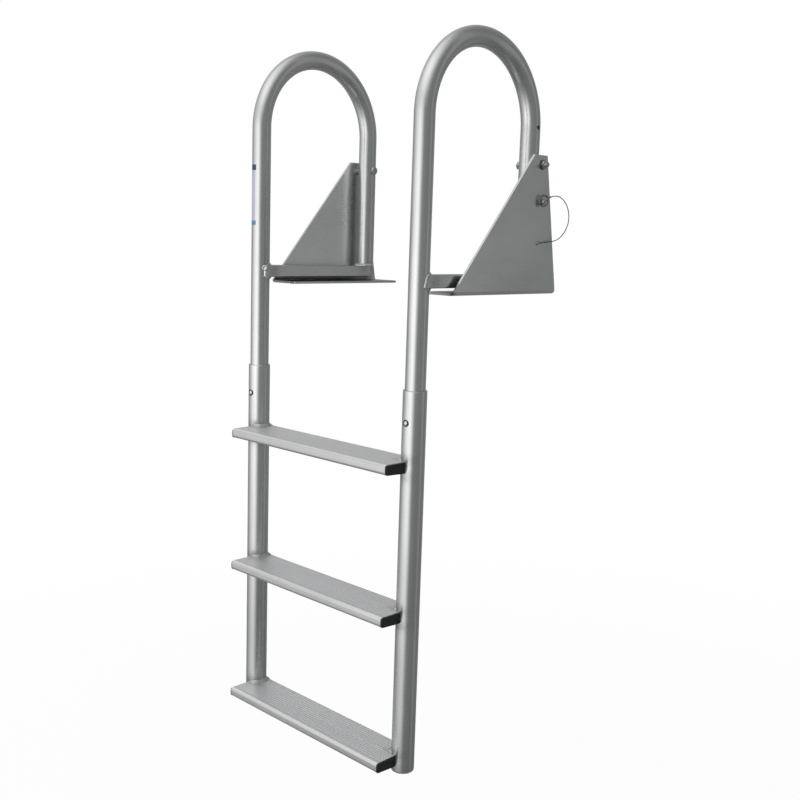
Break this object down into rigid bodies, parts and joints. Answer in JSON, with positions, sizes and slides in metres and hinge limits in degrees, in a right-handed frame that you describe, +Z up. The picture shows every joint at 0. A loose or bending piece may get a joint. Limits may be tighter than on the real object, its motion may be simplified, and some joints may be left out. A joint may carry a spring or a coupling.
{
  "type": "swing-up dock ladder",
  "caption": "Aluminium dock ladder with hoop handrails, extruded ribbed steps and hinged gusset brackets that let it swing up out of the water.",
  "frame": {"origin": "centre of the underside of the right bracket's foot, on the deck face", "axes": "+X across the ladder to the right as seen from the water, +Y from the water towards the deck, +Z up"},
  "size_m": [0.5474, 0.4463, 1.3869],
  "materials": {
    "rail_aluminium": "matte anodised",
    "step_aluminium": "matte extruded, ribbed tread",
    "bracket_aluminium": "mill finish sheet",
    "fastener_steel": "plain stainless",
    "black_plastic": "moulded, fine grain",
    "grey_plastic": "moulded, fine grain"
  },
  "bodies": {
    "brackets": {"left_bracket": "bracket_aluminium", "left_hinge_bolt": "fastener_steel", "left_hinge_spacer": "fastener_steel", "left_hinge_washer": "fastener_steel", "left_hinge_nut": "fastener_steel", "right_bracket": "bracket_aluminium", "right_hinge_bolt": "fastener_steel", "right_hinge_spacer": "fastener_steel", "right_hinge_washer": "fastener_steel", "right_hinge_nut": "fastener_steel", "lock_pin": "fastener_steel", "lock_pin_ring": "fastener_steel", "lanyard": "fastener_steel", "lanyard_ring_ferrule": "fastener_steel", "lanyard_plate_ferrule": "fastener_steel", "lanyard_rivet": "fastener_steel"},
    "ladder": {"left_handrail": "rail_aluminium", "left_lower_rail": "rail_aluminium", "left_rail_plug": "grey_plastic", "left_rail_bolt": "fastener_steel", "left_rail_nut": "fastener_steel", "left_stay_bar": "rail_aluminium", "left_bar_plug": "black_plastic", "right_handrail": "rail_aluminium", "right_lower_rail": "rail_aluminium", "right_rail_plug": "grey_plastic", "right_rail_bolt": "fastener_steel", "right_rail_nut": "fastener_steel", "right_stay_bar": "rail_aluminium", "right_bar_plug": "black_plastic", "top_step": "step_aluminium", "top_step_cap_left": "black_plastic", "top_step_cap_right": "black_plastic", "middle_step": "step_aluminium", "middle_step_cap_left": "black_plastic", "middle_step_cap_right": "black_plastic", "bottom_step": "step_aluminium", "bottom_step_cap_left": "black_plastic", "bottom_step_cap_right": "black_plastic"}
  },
  "joints": [
    {"name": "ladder_swing", "type": "hinge", "parent": "brackets", "child": "ladder", "pos_m": [-0.22105, 0.0905, 0.2475], "axis": [-1, 0, 0], "range_deg": [0, 180]}
  ]
}
